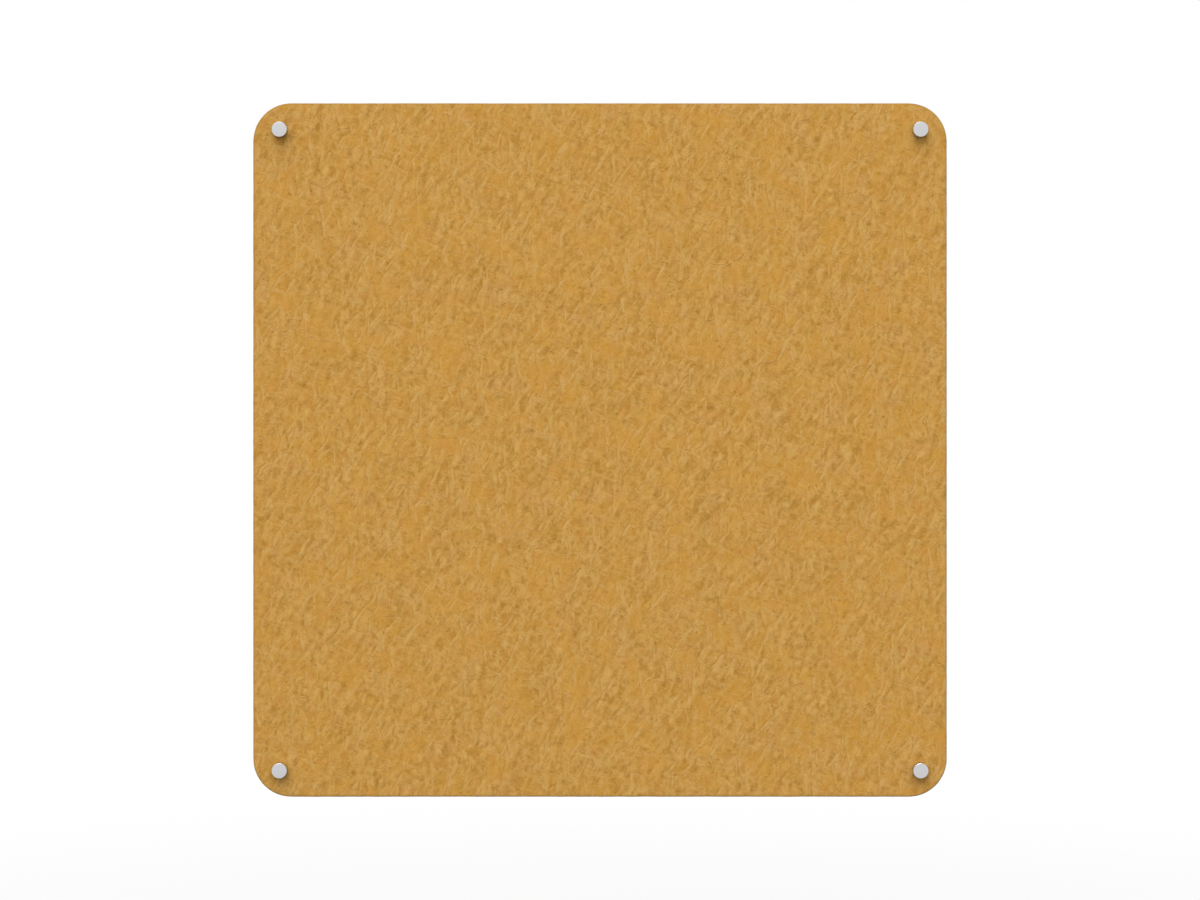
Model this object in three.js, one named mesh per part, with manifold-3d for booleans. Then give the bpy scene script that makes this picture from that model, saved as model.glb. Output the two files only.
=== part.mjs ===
// Square pinboard of pressed felt that four turned metal stand-offs hold in front of a wall.
// Millimetres, +Z up. The wall's face is the plane y = 0: the room lies towards -Y and the wall towards +Y.
// The origin is the middle of the board, taken on the wall's face.

import * as THREE from "three";
import { mergeVertices } from "three/addons/utils/BufferGeometryUtils.js";
import Module from "manifold-3d";

const wasm = await Module();
wasm.setup();

// Board
const boardWidth = 600;
const boardHeight = 600;
const boardThickness = 12;
const boardCornerRadius = 33;
const boardEdgeRounding = 0.8;
const boardHoleInset = 23.4; // from two edges to the axis of each stand-off
const boardHoleClearance = 0.6; // between the hole and the thread of the stud

// Thread that joins cap and barrel
const threadRadius = 4;
const threadPitch = 1.25;
const threadTurns = 6; // that the stud is screwed into the barrel
const threadDepthShare = 0.61; // of the pitch
const threadClearance = 0.3; // between the plain stud and the plain bore that stand for the thread

// Barrel, the spacer between wall and board
const barrelLength = 19;
const barrelWall = 2.5; // from the thread to the outside
const barrelBase = 3; // the inner shoulder that the wall screw pulls on
const barrelChamfer = 0.3;
const barrelMouthChamfer = 0.5;
const barrelFootWidth = 2.15; // of the ring that stands on the wall
const barrelFootRelief = 0.5; // how far the back is hollow inside that ring

// Soft washers on both faces of the board
const washerThickness = 1;
const washerSetback = 0.35; // from the outside of the barrel
const washerClearance = 0.2; // round the thread

// Cap with its stud
const capThickness = 6;
const capChamfer = 0.25;
const studNeckDepth = 0.5; // undercut behind the head
const studNeckLength = 1.5;
const studPoint = 0.8;

// Wall screw
const screwRadius = 1.5;
const screwCoreRadius = 1.1;
const screwHoleClearance = 0.2;
const screwHeadHeight = 2.1;
const screwHeadClearance = 0.75; // between the head and the bore that it passes through
const screwHeadRimShare = 0.3; // of the head's height that is straight
const screwPointLength = 3;
const screwOverlength = 2; // past the end of the plug
const recessDepth = 1.4;
const recessWidth = 0.55;
const recessShare = 0.55; // of the head's radius that the cross spans

// Wall plug
const plugLength = 25;
const plugWall = 1.1;
const plugClearance = 0.3; // round the screw's core
const plugMouthChamfer = 0.4;
const plugNeckShare = 0.26; // of the length, before the barbs
const plugNoseShare = 0.08; // of the length, past the barbs
const plugBarbs = 5;
const plugBarbDepth = 0.4;
const plugSlotWidth = 0.7;
const plugSlotShare = 0.66; // of the length, from its inner end
const finHeight = 0.6;
const finWidth = 0.6;
const finStartShare = 0.2; // of the neck
const finEndShare = 0.9; // of the neck

// Facets of the round pieces
const capFacets = 48;
const barrelFacets = 36;
const washerFacets = 36;
const screwFacets = 20;
const plugFacets = 20;
const holeFacets = 36;
const cornerFacets = 16; // on each rounded corner
const edgeFacets = 3;
const headFacets = 4;

const cutOverrun = 1; // how far a cutting shape runs past what it cuts

// Radii that follow from the thread and the screw
const threadMidRadius = threadRadius - (threadPitch * threadDepthShare) / 2;
const boreRadius = threadMidRadius + threadClearance / 2;
const studRadius = threadMidRadius - threadClearance / 2;
const barrelRadius = threadRadius + barrelWall;
const footInnerRadius = barrelRadius - barrelFootWidth;
const washerRadius = barrelRadius - washerSetback;
const washerHoleRadius = threadRadius + washerClearance;
const boardHoleRadius = threadRadius + boardHoleClearance;
const screwHoleRadius = screwRadius + screwHoleClearance;
const screwHeadRadius = boreRadius - screwHeadClearance;
const plugBoreRadius = screwCoreRadius + plugClearance;
const plugRadius = plugBoreRadius + plugWall;

// Reach of each face of the stack, measured from the wall's face into the room
const boardBackReach = barrelLength + washerThickness;
const boardFrontReach = boardBackReach + boardThickness;
const capBackReach = boardFrontReach + washerThickness;
const capFrontReach = capBackReach + capThickness;
const studEndReach = barrelLength - threadTurns * threadPitch;

const finish = {
  felt: { color: "#c3944b", roughness: 0.95, metalness: 0 },
  satinMetal: { color: "#c9c7c5", roughness: 0.38, metalness: 0.9 },
  softWasher: { color: "#4c4a47", roughness: 0.6, metalness: 0 },
  zincSteel: { color: "#b4b6b8", roughness: 0.35, metalness: 0.9 },
  greyNylon: { color: "#8d9094", roughness: 0.6, metalness: 0 },
};

function piece(name, geometry, look) {
  const mesh = new THREE.Mesh(geometry, new THREE.MeshStandardMaterial(look));
  mesh.name = name;
  return mesh;
}

// The closed solid that a geometry bounds
function solidOf(geometry) {
  const bare = geometry.clone();
  bare.deleteAttribute("normal");
  bare.deleteAttribute("uv");
  const merged = mergeVertices(bare);
  return new wasm.Manifold(
    new wasm.Mesh({
      numProp: 3,
      vertProperties: merged.attributes.position.array,
      triVerts: new Uint32Array(merged.index.array),
    }),
  );
}

// The geometry of a solid, with one normal to each facet
function geometryOf(solid) {
  const { vertProperties, triVerts } = solid.getMesh();
  const indexed = new THREE.BufferGeometry();
  indexed.setAttribute("position", new THREE.BufferAttribute(vertProperties, 3));
  indexed.setIndex(new THREE.BufferAttribute(triVerts, 1));
  const geometry = indexed.toNonIndexed();
  geometry.computeVertexNormals();
  return geometry;
}

// A solid of revolution about the axis of a stand-off. The profile is a list of [radius, reach] pairs
// that runs down the outside from the room's end to the wall's end. It ends on the axis, as it began,
// or comes back through the bore and is closed here.
function turned(profile, facets) {
  const points = profile.map(([radius, reach]) => new THREE.Vector2(radius, -reach));
  const isHollow = profile[0][0] > 0;
  if (isHollow) {
    points.push(points[0].clone());
  }
  return new THREE.LatheGeometry(points, facets);
}

// A plain round cutter between two reaches
function roundCutter(radius, nearReach, farReach, facets) {
  return solidOf(
    turned(
      [
        [0, farReach],
        [radius, farReach],
        [radius, nearReach],
        [0, nearReach],
      ],
      facets,
    ),
  );
}

function roundedRectangle(width, height, radius) {
  const right = width / 2 - radius;
  const top = height / 2 - radius;
  const quarter = Math.PI / 2;
  const outline = new THREE.Shape();
  outline.absarc(right, top, radius, 0, quarter);
  outline.absarc(-right, top, radius, quarter, 2 * quarter);
  outline.absarc(-right, -top, radius, 2 * quarter, 3 * quarter);
  outline.absarc(right, -top, radius, 3 * quarter, 4 * quarter);
  outline.closePath();
  return outline;
}

const corners = ["top_left", "top_right", "bottom_left", "bottom_right"].map((name) => ({
  name,
  x: (name.endsWith("left") ? -1 : 1) * (boardWidth / 2 - boardHoleInset),
  z: (name.startsWith("bottom") ? -1 : 1) * (boardHeight / 2 - boardHoleInset),
}));

// The felt board, with softened edges and a hole for each stud
function board() {
  const slab = new THREE.ExtrudeGeometry(roundedRectangle(boardWidth, boardHeight, boardCornerRadius), {
    depth: boardThickness - 2 * boardEdgeRounding,
    curveSegments: cornerFacets / 2,
    bevelThickness: boardEdgeRounding,
    bevelSize: boardEdgeRounding,
    bevelOffset: -boardEdgeRounding,
    bevelSegments: edgeFacets,
  });
  slab.translate(0, 0, boardBackReach + boardEdgeRounding);
  slab.rotateX(Math.PI / 2);
  let panel = solidOf(slab);
  for (const { x, z } of corners) {
    const hole = roundCutter(boardHoleRadius, boardBackReach - cutOverrun, boardFrontReach + cutOverrun, holeFacets);
    panel = panel.subtract(hole.translate([x, 0, z]));
  }
  return geometryOf(panel);
}

// Barrel: threaded bore from the front, a base with the screw's hole, and a foot that is hollow inside its rim
function barrel() {
  return turned(
    [
      [barrelRadius - barrelChamfer, barrelLength],
      [barrelRadius, barrelLength - barrelChamfer],
      [barrelRadius, barrelChamfer],
      [barrelRadius - barrelChamfer, 0],
      [footInnerRadius, 0],
      [footInnerRadius, barrelFootRelief],
      [screwHoleRadius, barrelFootRelief],
      [screwHoleRadius, barrelBase],
      [boreRadius, barrelBase],
      [boreRadius, barrelLength - barrelMouthChamfer],
      [boreRadius + barrelMouthChamfer, barrelLength],
    ],
    barrelFacets,
  );
}

function washer(backReach) {
  const frontReach = backReach + washerThickness;
  return turned(
    [
      [washerRadius, frontReach],
      [washerRadius, backReach],
      [washerHoleRadius, backReach],
      [washerHoleRadius, frontReach],
    ],
    washerFacets,
  );
}

// Cap: a flat head with a broken edge, an undercut behind it, and the stud down to its pointed end
function cap() {
  return turned(
    [
      [0, capFrontReach],
      [barrelRadius - capChamfer, capFrontReach],
      [barrelRadius, capFrontReach - capChamfer],
      [barrelRadius, capBackReach],
      [studRadius - studNeckDepth, capBackReach],
      [studRadius - studNeckDepth, capBackReach - studNeckLength],
      [studRadius, capBackReach - studNeckLength - studNeckDepth],
      [studRadius, studEndReach + studPoint],
      [studRadius - studPoint, studEndReach],
      [0, studEndReach],
    ],
    capFacets,
  );
}

// Wall screw: a domed head on the barrel's base, a plain core and a point, with a cross cut into the head
function wallScrew() {
  const rimReach = barrelBase + screwHeadHeight * screwHeadRimShare;
  const domeHeight = screwHeadHeight * (1 - screwHeadRimShare);
  const dome = Array.from({ length: headFacets + 1 }, (_, step) => {
    const angle = ((step / headFacets) * Math.PI) / 2;
    return [screwHeadRadius * Math.sin(angle), rimReach + domeHeight * Math.cos(angle)];
  });
  const tipReach = -(plugLength + screwOverlength);
  const body = turned(
    [
      ...dome,
      [screwHeadRadius, barrelBase],
      [screwCoreRadius, barrelBase],
      [screwCoreRadius, tipReach + screwPointLength],
      [0, tipReach],
    ],
    screwFacets,
  );
  const span = 2 * recessShare * screwHeadRadius;
  const height = recessDepth + cutOverrun;
  const middle = -(barrelBase + screwHeadHeight - recessDepth + height / 2);
  const upright = new THREE.BoxGeometry(recessWidth, height, span).translate(0, middle, 0);
  const level = new THREE.BoxGeometry(span, height, recessWidth).translate(0, middle, 0);
  return geometryOf(solidOf(body).subtract(solidOf(upright)).subtract(solidOf(level)));
}

// One fin of a wall plug, a wedge that keeps the plug from turning in its hole
function fin(neckLength) {
  const root = plugRadius - plugWall / 2;
  const start = neckLength * finStartShare;
  const end = neckLength * finEndShare;
  const wedge = new THREE.Shape();
  wedge.moveTo(root, start);
  wedge.lineTo(plugRadius + finHeight, start);
  wedge.lineTo(plugRadius, end);
  wedge.lineTo(root, end);
  wedge.closePath();
  const flat = new THREE.ExtrudeGeometry(wedge, { depth: finWidth, bevelEnabled: false });
  return solidOf(flat.translate(0, 0, -finWidth / 2));
}

// Wall plug: a plain neck at the wall's face, barbs that lean against the pull, and a slot along its inner part
function wallPlug() {
  const neckLength = plugLength * plugNeckShare;
  const barbPitch = (plugLength * (1 - plugNeckShare - plugNoseShare)) / plugBarbs;
  const barbs = [];
  for (let barb = 0; barb < plugBarbs; barb += 1) {
    const start = neckLength + barb * barbPitch;
    barbs.push([plugRadius, -start]);
    barbs.push([plugRadius - plugBarbDepth, -(start + barbPitch)]);
  }
  const sleeve = turned(
    [
      [plugRadius, 0],
      ...barbs,
      [plugRadius - plugBarbDepth, -plugLength],
      [plugBoreRadius, -plugLength],
      [plugBoreRadius, -plugMouthChamfer],
      [plugBoreRadius + plugMouthChamfer, 0],
    ],
    plugFacets,
  );
  const slotLength = plugLength * plugSlotShare + cutOverrun;
  const slotSpan = 2 * (plugRadius + cutOverrun);
  const slot = new THREE.BoxGeometry(plugSlotWidth, slotLength, slotSpan);
  slot.translate(0, plugLength + cutOverrun - slotLength / 2, 0);
  const rightFin = fin(neckLength);
  return geometryOf(
    solidOf(sleeve)
      .add(rightFin)
      .add(rightFin.rotate([0, 180, 0]))
      .subtract(solidOf(slot)),
  );
}

// One stand-off with the washers on both faces of the board, its axis on the group's Y axis
function standOff(name) {
  const group = new THREE.Group();
  group.add(piece(`${name}_cap`, cap(), finish.satinMetal));
  group.add(piece(`${name}_front_washer`, washer(boardFrontReach), finish.softWasher));
  group.add(piece(`${name}_rear_washer`, washer(barrelLength), finish.softWasher));
  group.add(piece(`${name}_barrel`, barrel(), finish.satinMetal));
  group.add(piece(`${name}_wall_screw`, wallScrew(), finish.zincSteel));
  group.add(piece(`${name}_wall_plug`, wallPlug(), finish.greyNylon));
  return group;
}

const pinboard = new THREE.Group();
pinboard.add(piece("felt_board", board(), finish.felt));
for (const { name, x, z } of corners) {
  const fixing = standOff(name);
  fixing.position.set(x, 0, z);
  pinboard.add(fixing);
}

export default pinboard;
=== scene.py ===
"""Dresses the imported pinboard: felt board, loose fibres, turned stand-offs, wall fixings and a plain stage.

Every length is in metres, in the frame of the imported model: the wall's face is the plane y = 0 and the
room lies towards -Y. A reach is a distance from the wall's face into the room.
"""

import math
import random

import bpy
from bpy.props import FloatProperty, FloatVectorProperty, IntProperty, PointerProperty
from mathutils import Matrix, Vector
from mathutils.geometry import delaunay_2d_cdt


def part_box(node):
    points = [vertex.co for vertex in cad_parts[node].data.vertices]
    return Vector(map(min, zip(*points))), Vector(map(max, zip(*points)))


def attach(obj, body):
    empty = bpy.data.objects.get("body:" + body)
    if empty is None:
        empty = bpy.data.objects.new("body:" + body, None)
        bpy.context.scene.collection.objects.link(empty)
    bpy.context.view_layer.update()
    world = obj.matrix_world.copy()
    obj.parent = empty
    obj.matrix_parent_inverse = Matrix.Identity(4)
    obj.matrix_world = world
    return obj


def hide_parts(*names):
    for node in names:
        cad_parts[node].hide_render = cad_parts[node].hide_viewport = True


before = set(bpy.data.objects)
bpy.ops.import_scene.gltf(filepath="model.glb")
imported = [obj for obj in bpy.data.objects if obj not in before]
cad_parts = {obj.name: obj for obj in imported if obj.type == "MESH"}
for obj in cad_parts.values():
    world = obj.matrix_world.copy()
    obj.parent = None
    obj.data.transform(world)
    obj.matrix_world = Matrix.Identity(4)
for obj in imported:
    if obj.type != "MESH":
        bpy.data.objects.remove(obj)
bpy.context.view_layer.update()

bl_info = {
    "name": "Felt pinboard on stand-offs",
    "version": (1, 0, 0),
    "blender": (4, 5, 0),
    "location": "View3D > Sidebar > Pinboard",
    "description": "Dresses a pinboard of pressed felt that turned stand-offs hold in front of a wall",
    "category": "Object",
}

MM = 0.001
TURN = 2 * math.pi
QUARTER = TURN / 4

# The order in which a grid of two by two points numbers its points
CORNERS = ("bottom_left", "top_left", "bottom_right", "top_right")
EVERY_CORNER = -1


def linear(hex_colour):
    """The linear colour, with alpha, of an sRGB hex colour."""
    values = [int(hex_colour[start:start + 2], 16) / 255 for start in (1, 3, 5)]
    return (*[v / 12.92 if v <= 0.04045 else ((v + 0.055) / 1.055) ** 2.4 for v in values], 1.0)


def reaches(name):
    """How far from the wall a CAD node begins and ends."""
    low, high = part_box(name)
    return -high[1], -low[1]


def radius_of(name):
    """Half the width of a CAD node."""
    low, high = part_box(name)
    return (high[0] - low[0]) / 2


BOARD_BACK, BOARD_FRONT = reaches("felt_board")
BARREL_BACK, BARREL_FRONT = reaches("top_right_barrel")
CAP_BACK = reaches("top_right_front_washer")[1]
STUD_END, CAP_FRONT = reaches("top_right_cap")
SCREW_END, SCREW_HEAD_REACH = reaches("top_right_wall_screw")
PLUG_LENGTH = -reaches("top_right_wall_plug")[0]
BOARD_HALF = radius_of("felt_board")
CAP_RADIUS = radius_of("top_right_cap")
WASHER_RADIUS = radius_of("top_right_front_washer")
SCREW_HEAD_RADIUS = radius_of("top_right_wall_screw")
# From the middle of the board to each stand-off's axis, both sideways and up or down
AXIS_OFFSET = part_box("top_right_cap")[0][0] + CAP_RADIUS


def colour_property(name, description, hex_colour):
    return FloatVectorProperty(
        name=name, description=description, default=linear(hex_colour), size=4, subtype="COLOR", min=0, max=1
    )


def length_property(name, description, millimetres):
    return FloatProperty(
        name=name, description=description, default=millimetres * MM, min=0, unit="LENGTH", precision=5
    )


def angle_property(name, description, degrees):
    return FloatProperty(name=name, description=description, default=math.radians(degrees), subtype="ANGLE")


def number_property(name, description, number):
    return FloatProperty(name=name, description=description, default=number)


class BoardSettings(bpy.types.PropertyGroup):
    corner_radius: length_property("Corner radius", "Radius of the board's rounded corners", 33)
    edge_rounding: length_property("Edge rounding", "How far the cut edges of the felt are rounded", 0.8)
    hole_radius: length_property("Hole radius", "Radius of the hole for each stud", 4.6)
    hole_rounding: length_property("Hole rounding", "How far the rims of the holes are rounded", 0.4)
    point_spacing: length_property("Point spacing", "Distance between the points of the surface", 3.3)
    relief: length_property("Relief", "Height of the surface's unevenness", 0.5)
    relief_grain: length_property("Relief grain", "Width of the surface's humps", 11)
    felt_colour: colour_property("Felt colour", "Colour of the dyed felt", "#bf8f42")


class FibreSettings(bpy.types.PropertyGroup):
    front_density: number_property("Front density", "Fibres to the square metre in front", 6000)
    back_density: number_property("Back density", "Fibres to the square metre behind", 5000)
    shortest: length_property("Shortest", "Length of the shortest fibres", 6)
    longest: length_property("Longest", "Length of the longest fibres", 30)
    thickness: length_property("Thickness", "Thickness of a strand of fibres", 0.45)
    lean: angle_property("Lean", "Direction in which most fibres lie", 58)
    spread: angle_property("Spread", "How far fibres turn from that direction", 75)
    seed: IntProperty(name="Seed", description="Which of the random layouts is used", default=4)


class StandOffSettings(bpy.types.PropertyGroup):
    thread_radius: length_property("Thread radius", "Outside radius of the stud's thread", 4)
    thread_pitch: length_property("Thread pitch", "Travel of the cap in one turn", 1.25)
    thread_depth: length_property("Thread depth", "Depth of the thread's groove", 0.767)
    thread_gap: length_property("Thread gap", "Room between stud and bore", 0.12)
    washer_gap: length_property("Washer gap", "Room between thread and washer", 0.2)
    metal_colour: colour_property("Metal colour", "Colour of the anodised aluminium", "#cdcdd0")
    washer_colour: colour_property("Washer colour", "Colour of the rubber washers", "#4c4a47")


class FixingSettings(bpy.types.PropertyGroup):
    screw_radius: length_property("Screw radius", "Outside radius of the wall screw's thread", 1.5)
    screw_pitch: length_property("Screw pitch", "Pitch of the wall screw's thread", 1.35)
    plug_radius: length_property("Plug radius", "Outside radius of the wall plug", 2.5)
    plug_bore: length_property("Plug bore", "Radius of the wall plug's bore", 1.4)
    zinc_colour: colour_property("Zinc colour", "Colour of the zinc-plated steel", "#b9bcc0")
    nylon_colour: colour_property("Nylon colour", "Colour of the wall plugs", "#8d9094")


class StageSettings(bpy.types.PropertyGroup):
    camera_distance: length_property("Camera distance", "From the board's front to the camera", 2000)
    frame_width: length_property("Frame width", "Width of the picture at the board's front", 1038)
    floor_drop: length_property("Floor drop", "From the middle of the board down to the floor", 540)
    floor_glow: number_property("Floor glow", "What the floor shows besides its paint", 0.73)
    floor_level: number_property("Floor level", "Light that the far floor sends back", 0.25)
    ambient: number_property("Ambient", "Level of the light from above and around", 0.92)
    lamp: number_property("Lamp", "Strength of the soft lamp above", 2.5)
    lamp_tilt: angle_property("Lamp tilt", "Angle between the lamp and level", 60)
    lamp_turn: angle_property("Lamp turn", "How far the lamp stands to the left", 20)
    lamp_angle: angle_property("Lamp size", "Angle that the soft lamp spans", 55)


# Kinds of nodes for shaders, most of them for geometry too
MATH, VECTOR, MAP_RANGE = "ShaderNodeMath", "ShaderNodeVectorMath", "ShaderNodeMapRange"
NOISE, MIX, BUMP = "ShaderNodeTexNoise", "ShaderNodeMix", "ShaderNodeBump"
COORDINATES, SPLIT, JOIN = "ShaderNodeTexCoord", "ShaderNodeSeparateXYZ", "ShaderNodeCombineXYZ"
ATTRIBUTE, EMISSION = "ShaderNodeAttribute", "ShaderNodeEmission"
# Kinds of nodes for geometry
READ, STORE = "GeometryNodeInputNamedAttribute", "GeometryNodeStoreNamedAttribute"
POSITION, NORMAL = "GeometryNodeInputPosition", "GeometryNodeInputNormal"
MOVE, REALIZE = "GeometryNodeSetPosition", "GeometryNodeRealizeInstances"
COPIES, COMPARE = "GeometryNodeInstanceOnPoints", "FunctionNodeCompare"
# How a map range node rises where it has to start and end softly
SOFTLY = "SMOOTHSTEP"


def fill(target, inputs):
    """Sets a node's inputs or links them to other nodes' outputs, in order or by name."""
    for key, value in inputs.items() if isinstance(inputs, dict) else enumerate(inputs):
        if isinstance(value, bpy.types.NodeSocket):
            target.id_data.links.new(value, target.inputs[key])
        else:
            target.inputs[key].default_value = value


def node(tree, kind, inputs=(), out=0, **settings):
    """Adds a node, sets it up, fills its inputs and gives one of its outputs."""
    made = tree.nodes.new(kind)
    for name, value in settings.items():
        setattr(made, name, value)
    fill(made, inputs)
    return made.outputs[out] if made.outputs else None


def weighted(tree, *parts):
    """The sum of some values, each multiplied by its weight."""
    total = 0.0
    for value, weight in parts:
        total = node(tree, MATH, (value, weight, total), operation="MULTIPLY_ADD")
    return total


def tinted(colour, tint):
    """A colour with each channel multiplied by its number of a tint."""
    return (*[channel * share for channel, share in zip(colour, tint)], 1.0)


def new_material(name):
    """A material with one shader, and its tree."""
    material = bpy.data.materials.new(name)
    material.use_nodes = True
    return material, material.node_tree


def shaded(material, **inputs):
    """A material whose shader has these inputs. The constant ones are set on the shader's own sockets."""
    named = {key.replace("_", " "): value for key, value in inputs.items()}
    fill(material.node_tree.nodes["Principled BSDF"], named)
    return material


def place_in_mm(tree):
    """Object coordinates in millimetres."""
    place = node(tree, COORDINATES, out="Object")
    return node(tree, VECTOR, {0: place, "Scale": 1 / MM}, operation="SCALE")


def curled(tree, place, grain, reach):
    """Places moved about by noise of a grain, so that a pattern drawn on them curls."""
    push = node(tree, NOISE, {"Vector": place, "Scale": 1 / grain, "Detail": 1.0}, "Color")
    return node(tree, VECTOR, (push, (reach, reach, reach), place), operation="MULTIPLY_ADD")


def patches(tree, place, width, low, high, detail=2.0):
    """Soft-edged patches about as wide as width: 1 inside them and 0 between them."""
    noise = node(tree, NOISE, {"Vector": place, "Scale": 1 / width, "Detail": detail})
    return node(tree, MAP_RANGE, (noise, low, high), interpolation_type=SOFTLY)


def laid_over(tree, colour, coat, mask, share=1.0):
    """A colour with a coat of another one where a mask is 1, which covers a share of it there."""
    return node(tree, MIX, {0: weighted(tree, (mask, share)), 6: colour, 7: coat}, 2, data_type="RGBA")


def between(tree, colour, dark_tint, pale_tint, mask):
    """A colour that goes from one tint of it, where a mask is 0, to another one where it is 1."""
    return laid_over(tree, tinted(colour, dark_tint), tinted(colour, pale_tint), mask)


# Direction, length and width of the nap's strands, in degrees and mm. Real ones are a few fibres of 0.03 mm
# and are drawn wider, so that they show
STRANDS = ((6, 5, 0.8), (66, 5, 0.8), (126, 5, 0.8))
# Direction, length and width of the felt's soft folds, in degrees and mm, and how strongly they show: their
# flanks are painted light and painted shade in the colour, and the surface itself is not folded
FOLDS = ((57, 15, 7.5, 3.5), (92, 12, 7.2, 2.9), (-22, 10, 7.0, 2.3))
# The same of its thin creases, whose flanks are painted light and painted shade too
CREASES = ((58, 22, 4.6, 0.8), (92, 18, 4.2, 0.65), (-22, 16, 4.2, 0.45))
# Each of the felt's patterns has a number, and lies its number of steps aside, so that no two are alike
RUST, CREAM, FIRST_FOLD, FIRST_CREASE, FIRST_STRAND = -2, -1, 0, 3, 10
STEP_ASIDE = (37.0, 0, 53.0)
# How far apart the two sides of a fold are looked at, in widths of the fold
ACROSS = 0.27

# What each pattern does to the dyed felt: its tint of the dye, and the share of the felt's colour it takes.
# Besides the dye's own patches, the flanks of folds and creases are painted light and painted shade, the pits
# painted shade, the nap a painted highlight and the strip along the outline painted shade
COATS = {
    "creamy": ((1.04, 1.07, 1.6), 0.75),
    "fold flank in painted shade": ((0.70, 0.60, 0.28), 0.85),
    "fold flank in painted light": ((1.30, 1.46, 2.2), 0.8),
    "orange": ((1.11, 1.03, 0.64), 0.62),
    "rusty": ((1.10, 0.91, 0.82), 0.44),
    "crease flank in painted shade": ((0.78, 0.69, 0.38), 0.7),
    "crease flank in painted light": ((1.25, 1.42, 2.2), 1.0),
    "pits in painted shade": ((0.70, 0.58, 0.28), 0.5),
    "nap in painted highlight": ((1.28, 1.45, 2.2), 0.26),
    # The strip along the outline: painted shade of the rounded edge
    "pressed": ((0.70, 0.77, 1.05), 0.5),
}
# Tints of the dye in the darkest and palest parts of the face; of the cut edge and its rounding, darkened as
# painted shade over the mat's layers; and of the loose fibres
FACE_TINTS = (0.88, 0.84, 0.62), (1.14, 1.18, 1.38)
SHADED_EDGE_TINTS = (0.44, 0.48, 0.62), (0.61, 0.66, 0.82)
FIBRE_TINTS = (1.14, 1.20, 1.45), (1.40, 1.56, 2.5)


def apart(tree, place, number):
    """Places moved aside, further for each number, so that patterns drawn on them differ."""
    return node(tree, VECTOR, (place, [number * step for step in STEP_ASIDE]), operation="ADD")


def side_by_side(tree, place, number, lean, length, width):
    """Places for a pattern drawn out in one direction of the board's plane: a little across it, and there."""
    turned_place = {"Vector": apart(tree, place, number), "Angle": math.radians(lean)}
    along = node(tree, "ShaderNodeVectorRotate", turned_place, rotation_type="Y_AXIS")
    drawn_out = node(tree, VECTOR, (along, (1 / length, 1 / length, 1 / width)), operation="MULTIPLY")
    return node(tree, VECTOR, (drawn_out, (0, 0, ACROSS)), operation="ADD"), drawn_out


def flanks(tree, place, *fold):
    """Soft folds in a light from one side: above 0 on the flank that faces it, below 0 on the other."""
    sides = side_by_side(tree, place, *fold)
    heights = [node(tree, NOISE, {"Vector": here, "Scale": 1.0}) for here in sides]
    return node(tree, MATH, heights, operation="SUBTRACT")


def creases(tree, place, *crease):
    """Painted light and painted shade on the two flanks of single long creases."""
    return [patches(tree, here, 1, 0.56, 0.74) for here in side_by_side(tree, place, *crease)]


def nap(tree, place):
    """Crossing strands of fibres: 1 on a strand and 0 between them."""
    highest = 0.0
    for number, strand in enumerate(STRANDS, FIRST_STRAND):
        here = side_by_side(tree, place, number, *strand)[1]
        highest = node(tree, MATH, (highest, patches(tree, here, 1, 0.48, 0.68, 1.0)), operation="MAXIMUM")
    return highest


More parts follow.
